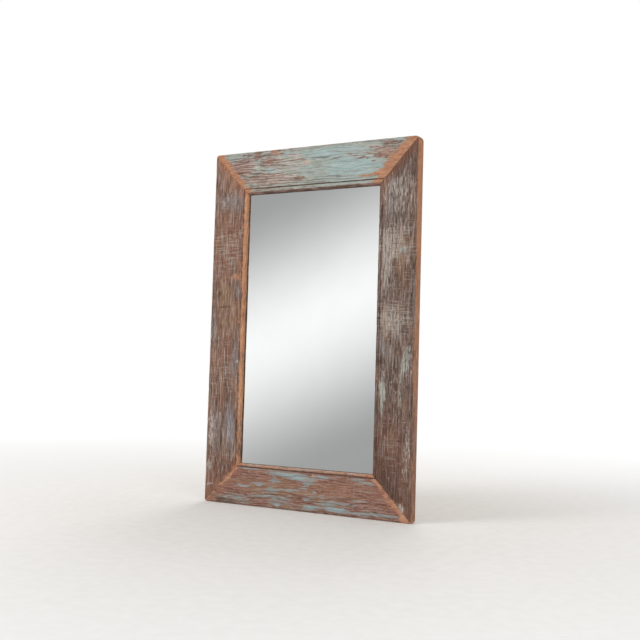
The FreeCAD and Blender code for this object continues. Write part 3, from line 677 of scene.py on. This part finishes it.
def add_sanding(made, name, points, seed):
    """Adds to the shares what the sander and many hands have done."""
    along, across, behind = board_place(name, points)
    depth, *_ = inside_outline(points)
    own, bead, sanding_and_shade = OWN_WIDTH[name], BOARDS[name].bead, SANDING_AND_SHADE[name]
    gaps = mitre_gaps(name, along, across)
    made["mitre"] = np.minimum(*gaps)
    ragged = RAGGED * uneven(along, across, *LARGE_LUMPS, seed)
    ragged += RAGGED * uneven(along, across, *SMALL_LUMPS, seed + 9)
    for gap, (outer, inner) in zip(gaps, (sanding_and_shade.first, sanding_and_shade.last)):
        width = outer + (inner - outer) * across / own
        band = np.clip((width + ragged - gap) / BAND_SOFT, 0, 1)
        made["sanded"] += BAND_SHARE * band * np.clip(width / BAND_LEAST, 0, 1)
    rubbed = np.exp(-((np.maximum(made["mitre"], 0) / RUBBED_REACH) ** 2))
    made["red"] += RUBBED_RED * rubbed
    for kind in ("fleck", "pale", "kerf", "grey", "dark"):
        made[kind] -= RUBBED_WEATHER * rubbed
    made["sanded"] += sanding_and_shade.edge * np.clip((EDGE_REACH - depth) / EDGE_SOFT, 0, 1)
    on_side = (depth < SIDE_SKIN) * np.clip((behind - SIDE_FROM) / SIDE_FROM, 0, 1)
    made["sanded"] += SIDE_SHARE * (1 - sanding_and_shade.edge) * on_side
    worn = BEAD_SHARE + BEAD_PATCHY * uneven(along, across, BEAD_PATCH, BEAD_PATCH, seed + 3)
    on_bead = np.clip((bead + QUIRK + ragged - (own - across)) / BEAD_SOFT, 0, 1)
    made["sanded"] += sanding_and_shade.bead * worn * on_bead


print("mitre bands at the outer corners", [(s.first[0], s.last[0]) for s in SANDING_AND_SHADE.values()], "mm")

# %% Painted shade in the quirk and on the bead's underside
# The painted shade lies between these depths in the quirk, a little past its sides.
QUIRK_TOP, QUIRK_FLOOR, QUIRK_SPILL = 0.7, 3, 0.5
# The shaded underside and inner side of the bead start at these shares of its width, with a soft border.
UNDER_START_SHARE, INNER_START_SHARE, SHADE_SOFT = 0.45, 0.4, 2
# How dark the painted shade on these two gets, and how much of the other finishes the underside
# loses, so that bare wood shows there.
UNDER_SHADE, INNER_SHADE, UNDER_CLEAN = 0.45, 0.7, 2


def add_painted_shade(made, name, points):
    """Paints shade as darker shares in the quirk, on the bead's underside and on its side to the glass.
    """
    _, across, behind = board_place(name, points)
    bead, sanding_and_shade, sight = BOARDS[name].bead, SANDING_AND_SHADE[name], OWN_WIDTH[name] - across
    quirk_off = np.abs(sight - bead - QUIRK / 2)
    deep = (behind > QUIRK_TOP) & (behind < QUIRK_FLOOR)
    # Where shade is painted: in the quirk, on the bead's underside, and on its side towards the glass.
    quirk_shade = sanding_and_shade.quirk * (deep & (quirk_off < QUIRK / 2 + QUIRK_SPILL))
    under = sanding_and_shade.under * np.clip((UNDER_START_SHARE * bead - sight) / SHADE_SOFT, 0, 1)
    inner = np.clip((behind - INNER_START_SHARE * bead) / SHADE_SOFT, 0, 1) * (sight < SIDE_SKIN)
    # The painted shade goes into the dark layer, and the lighter finishes are taken off there.
    made["dark"] += quirk_shade + UNDER_SHADE * under + INNER_SHADE * inner
    for kind in ("paint", "blue", "scrape", "fleck", "pale", "sanded"):
        made[kind] -= quirk_shade + UNDER_CLEAN * under + inner


# Prints how strong the painted shade in each board's quirk is.
print("dirt in the quirk", {name: sanding_and_shade.quirk for name, sanding_and_shade in SANDING_AND_SHADE.items()})

# %% Finish numbers on the points
# The spots are ovals. Measuring them from shifted points bends the large ones into ragged shapes: along
# and across by up to this much, in lumps of this size. Spots shorter than FULLY_BENT are bent less, and
# SPOT_FALL is how suddenly a spot ends.
SPOT_SHIFT, SHIFT_LUMPS = 9, (34, 12)
SPOT_LIFT, LIFT_LUMPS = 4, (30, 14)
FULLY_BENT, SPOT_FALL = 10, 1.5
# The back and the rebate were never painted. The rebate starts a little behind the lip and inside the
# outline, and the back a little before its face.
RAW_WOOD = {"red": 0.3, "tan": 0.45, "pale": 0.2, "lines": 0.1, "dark": 0.1, "sanded": 0.3}
NO_FINISH = -0.3
RAW_BEHIND, RAW_INSIDE, RAW_EDGE = 0.1, 0.5, 1.9


def spot_shares(name, points, seed):
    """The finish shares of each point, by name, from the bases and spots of its board."""
    along, across, _ = board_place(name, points)
    shift = SPOT_SHIFT * uneven(along, across, *SHIFT_LUMPS, seed + 5)
    lift = SPOT_LIFT * uneven(along, across, *LIFT_LUMPS, seed + 7)
    made = {}
    for kind, (base, spots) in FINISH[name].items():
        made[kind] = np.full(len(along), base, float)
        for a, c, half_along, half_across, share in spots:
            bend = min(half_along / FULLY_BENT, 1)
            from_a, from_c = along + bend * shift - a, across + bend * lift - c
            reach = (from_a / half_along) ** 2 + (from_c / half_across) ** 2
            made[kind] += share * np.exp(-(reach**SPOT_FALL))
    if BOARDS[name].level:
        made["blue"] = np.minimum(made["blue"], made["paint"])
    return made


def finish_of(name, points):
    """The finish shares of each point, by name, and how far it is from the nearer mitre."""
    seed = SEEDS[name] + 20
    made = spot_shares(name, points, seed)
    add_sanding(made, name, points, seed)
    add_painted_shade(made, name, points)
    _, _, behind = board_place(name, points)
    depth, *_ = inside_outline(points)
    rebate = (behind > LIP + RAW_BEHIND) & (depth > RAW_INSIDE)
    bare = rebate | (behind > THICK - RAW_EDGE)
    for kind in FINISH[name]:
        made[kind] = np.where(bare, RAW_WOOD.get(kind, NO_FINISH), made[kind])
    return made


print("finishes", list(FINISH["top_rail"]))

# %% [markdown]
# ## The boards' material
#
# Reclaimed teak: sawn, painted, weathered and partly sanded. To the eye it is matt, streaked along the
# grain in several browns, with thin chalky paint left on it in flakes. One recipe makes all four boards:
# brown grain first, then layers over it. A layer lies where its finish share and a stretched noise
# together pass one, so a share of 0.3 covers about a third of the wood in ragged streaks. The layers
# are a table, so that the order of the real events can be read in it.

# %% Board patterns
# Noise lumps in millimetres: along the grain, across it, then detail, roughness and distortion. Real
# pores are finer than a millimetre and would not show, so they are drawn two to three times as coarse.
PATTERNS = {
    "tone": (110, 34, 3.0, 0.55, 0.6),
    "grain": (44, 4.2, 5.0, 0.66, 0.6),
    "streak": (30, 3.2, 4.0, 0.62, 0.6),
    "pore": (13, 1.8, 3.0, 0.60, 0.0),
    "flake": (26, 4.6, 8.0, 0.78, 1.4),
    "wash": (32, 9.0, 6.0, 0.70, 2.2),
    "speck": (15, 2.4, 4.0, 0.64, 0.4),
    "saw": (3.0, 40, 3.0, 0.60, 0.1),
}
# Most of a noise lies between these values, which are spread from zero to one.
NOISE_LOW, NOISE_HIGH = 0.30, 0.70
# The yearly rings make long wavy lines, this far apart across and along the board.
RING_WIDTH, RING_RUN = 9.0, 50.0
# Paint flakes in large and small shapes. This much of them is small, and the rings loosen the paint.
SMALL_FLAKES, RING_LOOSE = 0.55, 0.14


def board_patterns(tree):
    """The patterns of a board, by name."""
    place = add(tree, "ShaderNodeAttribute", attribute_name="place")["Vector"]
    field = {}
    for pattern, (long, wide, detail, rough, bend) in PATTERNS.items():
        size = (1 / (long * MM), 1 / (wide * MM), 1 / (wide * MM))
        spot = add(tree, "ShaderNodeMapping", {"Vector": place, "Scale": size})[0]
        sockets = {"Vector": spot, "Scale": 1.0, "Detail": detail, "Roughness": rough, "Distortion": bend}
        lumps = add(tree, "ShaderNodeTexNoise", sockets)[0]
        field[pattern] = add(tree, "ShaderNodeMapRange", {0: lumps, 1: NOISE_LOW, 2: NOISE_HIGH})[0]
    # A band texture repeats every 0.1 pi of its coordinate.
    band = 0.1 * math.pi / MM
    size = (band / RING_RUN, band / RING_WIDTH, band / RING_WIDTH)
    spot = add(tree, "ShaderNodeMapping", {"Vector": place, "Scale": size})[0]
    sockets = {"Vector": spot, "Scale": 1.0, "Distortion": 16.0, "Detail": 4.0, "Detail Scale": 0.9}
    field["rings"] = add(tree, "ShaderNodeTexWave", sockets, bands_direction="Y")["Fac"]
    sockets = {0: SMALL_FLAKES, 2: field["flake"], 3: field["speck"]}
    flakes = add(tree, "ShaderNodeMix", sockets)[0]
    sockets = {0: field["rings"], 1: -RING_LOOSE, 2: flakes}
    streaky = add(tree, "ShaderNodeMath", sockets, operation="MULTIPLY_ADD")[0]
    # Half of that is added again, so that as much paint is left as the shares say.
    field["flaking"] = add(tree, "ShaderNodeMath", {0: streaky, 1: RING_LOOSE / 2}, operation="ADD")[0]
    return field


print(len(PATTERNS), "noise patterns")

# %% Board layers
# Each layer: finish, ragged pattern, softness of its border, opacity, shading pattern.
LAYERS = (
    ("red", "tone", 0.30, 0.85, "grain"),
    ("tan", "tone", 0.30, 0.85, "grain"),
    ("grey", "grain", 0.30, 0.80, "pore"),
    # The dark layer holds dark streaks and cracks, and also painted shade in the quirk and along the
    # bead.
    ("dark", "streak", 0.20, 0.80, "pore"),
    ("pale", "grain", 0.18, 0.70, "pore"),
    ("kerf", "saw", 0.14, 0.46, "pore"),
    ("fleck", "speck", 0.10, 0.75, "tone"),
    ("paint", "flaking", 0.05, 0.90, "streak"),
    ("blue", "flake", 0.08, 0.85, "grain"),
    ("scrape", "streak", 0.12, 0.70, "pore"),
    ("lines", "rings", 0.15, 0.60, "grain"),
    ("sanded", "speck", 0.30, 0.92, "wash"),
)
# The darkest and the palest colour of each layer, where a board has no colours of its own.
SHADES = {
    "red": ("#6a4034", "#9e6f59"),
    "tan": ("#7f5f49", "#b29276"),
    "grey": ("#6d6465", "#979294"),
    "dark": ("#3c2c26", "#5a463d"),
    "pale": ("#93847d", "#aea29c"),
    "kerf": ("#a3998f", "#bdb4aa"),
    "fleck": ("#aaa49d", "#cbc7c1"),
    "paint": ("#828e87", "#b5beb6"),
    "blue": ("#869fa1", "#b7c9c9"),
    "scrape": ("#a8948a", "#cbbbae"),
    "lines": ("#5a453b", "#7a6458"),
    "sanded": ("#935c41", "#cf9a76"),
}


def lay_finishes(tree, field, wood, shades):
    """Lays the finishes over the colour of the wood. Returns the colour, and where each finish lies."""
    coat, masks = wood, {}
    for kind, ragged, softness, opacity, shading in LAYERS:
        share = add(tree, "ShaderNodeAttribute", attribute_name=kind)["Fac"]
        raised = add(tree, "ShaderNodeMath", {0: share, 1: field[ragged]}, operation="ADD")[0]
        border = {0: raised, 1: 1 - softness, 2: 1 + softness, 4: opacity}
        masks[kind] = add(tree, "ShaderNodeMapRange", border)[0]
        low, high = (colour(c) for c in shades[kind])
        tint = add(tree, "ShaderNodeMix", {0: field[shading], 6: low, 7: high}, data_type="RGBA")[2]
        coat = add(tree, "ShaderNodeMix", {0: masks[kind], 6: coat, 7: tint}, data_type="RGBA")[2]
    return coat, masks


print(len(LAYERS), "layers")

# %% Painted and weathered teak
GRAIN_LEVELS = (0.10, 0.50, 0.90)
JOINT_LINE = "#4a352a"
# The line along a mitre fades between these millimetres, and is never darker than this.
JOINT_FROM, JOINT_TO, JOINT_DARK = 0.2, 1.4, 0.3
# Weathered wood is matt. The pores are a little smoother.
MATT, SMOOTHER = 0.84, 0.66
# How high pores and paint stand beside the grain, and how high that is in millimetres.
PORE_RELIEF, PAINT_RELIEF, RELIEF = 0.5, 0.9, 0.3


def board_material(name, teak, **other_shades):
    """Weathered, painted teak for one board. other_shades replaces the pair of colours of a layer."""
    material, tree = new_material(name)
    field = board_patterns(tree)
    ramp = add(tree, "ShaderNodeValToRGB", {0: field["grain"]})
    stops = ramp[0].node.color_ramp.elements
    stops.new(0.5)
    for stop, level, shade in zip(stops, GRAIN_LEVELS, teak):
        stop.position = level
        stop.color = colour(shade)
    coat, masks = lay_finishes(tree, field, ramp[0], {**SHADES, **other_shades})
    mitre = add(tree, "ShaderNodeAttribute", attribute_name="mitre")["Fac"]
    sockets = {0: mitre, 1: JOINT_FROM, 2: JOINT_TO, 3: JOINT_DARK, 4: 0.0}
    line = add(tree, "ShaderNodeMapRange", sockets)[0]
    coat = add(tree, "ShaderNodeMix", {0: line, 6: coat, 7: colour(JOINT_LINE)}, data_type="RGBA")[2]
    rough = add(tree, "ShaderNodeMapRange", {0: field["pore"], 3: MATT, 4: SMOOTHER})[0]
    sockets = {0: field["pore"], 1: PORE_RELIEF, 2: field["grain"]}
    fine = add(tree, "ShaderNodeMath", sockets, operation="MULTIPLY_ADD")[0]
    sockets = {0: masks["paint"], 1: PAINT_RELIEF, 2: fine}
    relief = add(tree, "ShaderNodeMath", sockets, operation="MULTIPLY_ADD")[0]
    bump = add(tree, "ShaderNodeBump", {"Height": relief, "Strength": 0.5, "Distance": RELIEF * MM})[0]
    sockets = {"Base Color": coat, "Roughness": rough, "Normal": bump, "Specular IOR Level": 0.3}
    shader = add(tree, "ShaderNodeBsdfPrincipled", sockets)[0]
    add(tree, "ShaderNodeOutputMaterial", {"Surface": shader})
    return material


BOARD_MATERIALS = {
    "top_rail": board_material(
        "flaking_painted_teak", teak=("#523b30", "#80645a", "#a58c7c"), tan=("#80655a", "#b39b8e"),
        red=("#6b443a", "#a27668"), scrape=("#ad9b93", "#d2c5bb"),
    ),
    "bottom_rail": board_material(
        "scraped_teak", teak=("#573630", "#926a5d", "#c09b8c"), red=("#72453a", "#a97868"),
        paint=("#7a817f", "#a7aead"), scrape=("#a1725c", "#bd907a"), sanded=("#955f47", "#d8a888"),
        blue=("#819a9f", "#b0c4c8"), grey=("#6a645b", "#98948a"),
    ),
    "left_stile": board_material(
        "weathered_teak_left", teak=("#422d25", "#85695b", "#b4998a"), pale=("#9b867a", "#bdab9d"),
        blue=("#7f828c", "#aaacb6"), scrape=("#8c6557", "#b18a7a"), sanded=("#9a6347", "#d9a680"),
    ),
    "right_stile": board_material(
        "weathered_teak_right", teak=("#3d302b", "#6a5950", "#917f75"), pale=("#94877f", "#b6aaa2"),
        red=("#593a31", "#8a6150"), blue=("#8b948c", "#c0c7be"),
    ),
}
print(len(BOARD_MATERIALS), "board materials of", len(LAYERS), "layers")

# %% Make the boards
SHARP_ANGLE = math.radians(38)
# The boards take their patterns from places far apart, so that no two boards are alike.
PLACE_APART = 1000


def weathered_board(name):
    """The worn board that stands for a packed one, with its finish numbers and material."""
    level = BOARDS[name].level
    nails = [a - WIDTH / 2 if level else HEIGHT - a for a, _ in NAIL_HOLES[name]]
    bm = sliced_board(name, nails)
    mesh = bpy.data.meshes.new(f"{name}_worn")
    bm.to_mesh(mesh)
    bm.free()
    points = np.empty(len(mesh.vertices) * 3, np.float32)
    mesh.vertices.foreach_get("co", points)
    points = points.reshape(-1, 3).astype(float)
    along, across, behind = board_place(name, points)
    place = mesh.attributes.new("place", "FLOAT_VECTOR", "POINT")
    own_place = np.stack([along + PLACE_APART * SEEDS[name], across, behind], 1) * MM
    place.data.foreach_set("vector", own_place.astype(np.float32).ravel())
    for kind, values in finish_of(name, points).items():
        field = mesh.attributes.new(kind, "FLOAT", "POINT")
        field.data.foreach_set("value", values.astype(np.float32))
    amount = worn_depth(name, points)
    points += way_in(name, points) * (amount * MM)[:, None]
    mesh.vertices.foreach_set("co", points.astype(np.float32).ravel())
    mesh.shade_smooth()
    mesh.set_sharp_from_angle(angle=SHARP_ANGLE)
    mesh.materials.append(BOARD_MATERIALS[name])
    board = bpy.data.objects.new(f"{name}_worn", mesh)
    bpy.context.collection.objects.link(board)
    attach(board, "frame")
    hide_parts(name)
    print(name, len(mesh.polygons), "faces, worn by up to", round(float(amount.max()), 2), "mm")


for name in BOARDS:
    weathered_board(name)

# %% [markdown]
# ## Mirror glass
#
# Float glass, silvered behind. A true model would be clear glass over a metal film, but the two
# surfaces are 4 mm apart and the eye sees one clean reflection, so the sheet is a polished metal with
# silver's pale colour. A little dust changes its gloss from place to place.

# %% Silvered glass


def dress(material, *names):
    """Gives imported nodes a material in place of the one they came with."""
    for name in names:
        mesh = nodes[name].data
        mesh.materials.clear()
        mesh.materials.append(material)
        for face in mesh.polygons:
            face.material_index = 0


# Dust lies in clouds of this size. It shows between these values, and dulls the glass by so much.
DUST_CLOUD, DUST_LOW, DUST_HIGH, DULLEST = 71.4, 0.35, 0.75, 0.035
glass, tree = new_material("silvered_glass")
spot = add(tree, "ShaderNodeTexCoord")["Object"]
sockets = {"Vector": spot, "Scale": 1 / (DUST_CLOUD * MM), "Detail": 6.0}
dust = add(tree, "ShaderNodeTexNoise", sockets)[0]
gloss = add(tree, "ShaderNodeMapRange", {0: dust, 1: DUST_LOW, 2: DUST_HIGH, 3: 0.0, 4: DULLEST})[0]
sockets = {0: dust, 6: colour("#fbfdfc"), 7: colour("#f4f6f5")}
tint = add(tree, "ShaderNodeMix", sockets, data_type="RGBA")[2]
sockets = {"Base Color": tint, "Metallic": 1.0, "Roughness": gloss}
shader = add(tree, "ShaderNodeBsdfPrincipled", sockets)[0]
add(tree, "ShaderNodeOutputMaterial", {"Surface": shader})
dress(glass, "mirror_plate")
print("silvered glass on mirror_plate")

# %% [markdown]
# ## Plywood, birch and steel
#
# The back is plain: a sheet of unfinished plywood with rotary-cut grain, birch dowels inside the
# mitres, and zinc plated steel that has dulled. Plywood could be built of its veneers, but only the
# outer one is seen. So these are ordinary stretched noises, because nothing at the back was ever
# finished.

# %% Plywood and birch
# Grain length and width in millimetres, the dark and the pale of the grain, and the nodes.
VENEERS = {
    "plywood": ((170, 11.0), "#ab875d", "#cdae84", ("backing_board",)),
    "birch_dowel": ((30, 2.0), "#b99368", "#dcc199", tuple(n for n in nodes if "dowels" in n)),
}
for name, ((long, wide), dark, pale, wearers) in VENEERS.items():
    wood, tree = new_material(name)
    spot = add(tree, "ShaderNodeTexCoord")["Object"]
    size = (1 / (wide * MM), 1 / (wide * MM), 1 / (long * MM))
    grain = add(tree, "ShaderNodeMapping", {"Vector": spot, "Scale": size})[0]
    sockets = {"Vector": grain, "Scale": 1.0, "Detail": 5.0, "Distortion": 0.9}
    streak = add(tree, "ShaderNodeTexNoise", sockets)[0]
    spread = add(tree, "ShaderNodeMapRange", {0: streak, 1: NOISE_LOW, 2: NOISE_HIGH})[0]
    tint = add(tree, "ShaderNodeMix", {0: spread, 6: colour(dark), 7: colour(pale)}, data_type="RGBA")[2]
    rough = add(tree, "ShaderNodeMapRange", {0: streak, 3: 0.85, 4: 0.65})[0]
    bump = add(tree, "ShaderNodeBump", {"Height": streak, "Strength": 0.3, "Distance": 0.2 * MM})[0]
    sockets = {"Base Color": tint, "Roughness": rough, "Normal": bump}
    shader = add(tree, "ShaderNodeBsdfPrincipled", sockets)[0]
    add(tree, "ShaderNodeOutputMaterial", {"Surface": shader})
    dress(wood, *wearers)
    print(name, "on", len(wearers), "nodes")

# %% Zinc plated steel
SCREWS = [n for n in nodes if "screws" in n]
PLATES = [n for n in nodes if {"brace", "strap", "ring"} & set(n.split("_")) and n not in SCREWS]
# The size of the dull clouds in millimetres, the dull and the bright of the metal, and the nodes.
METALS = {
    "zinc_plated_steel": (9.0, "#9a9c9d", "#c3c5c4", PLATES),
    "steel_screw": (2.5, "#8b8780", "#b9b6ae", SCREWS),
}
for name, (bloom, dull, bright, wearers) in METALS.items():
    steel, tree = new_material(name)
    spot = add(tree, "ShaderNodeTexCoord")["Object"]
    sockets = {"Vector": spot, "Scale": 1 / (bloom * MM), "Detail": 5.0, "Roughness": 0.65}
    cloud = add(tree, "ShaderNodeTexNoise", sockets)[0]
    spread = add(tree, "ShaderNodeMapRange", {0: cloud, 1: 0.35, 2: 0.65})[0]
    sockets = {0: spread, 6: colour(dull), 7: colour(bright)}
    tint = add(tree, "ShaderNodeMix", sockets, data_type="RGBA")[2]
    sockets = {0: cloud, 1: NOISE_LOW, 2: NOISE_HIGH, 3: 0.52, 4: 0.34}
    rough = add(tree, "ShaderNodeMapRange", sockets)[0]
    bump = add(tree, "ShaderNodeBump", {"Height": cloud, "Strength": 0.15, "Distance": 0.05 * MM})[0]
    sockets = {"Base Color": tint, "Metallic": 1.0, "Roughness": rough, "Normal": bump}
    shader = add(tree, "ShaderNodeBsdfPrincipled", sockets)[0]
    add(tree, "ShaderNodeOutputMaterial", {"Surface": shader})
    dress(steel, *wearers)
    print(name, "on", len(wearers), "nodes")

# %% [markdown]
# ## Finish
#
# The standard view shows colours as they are written.

# %% The end
bpy.context.scene.view_settings.view_transform = "Standard"
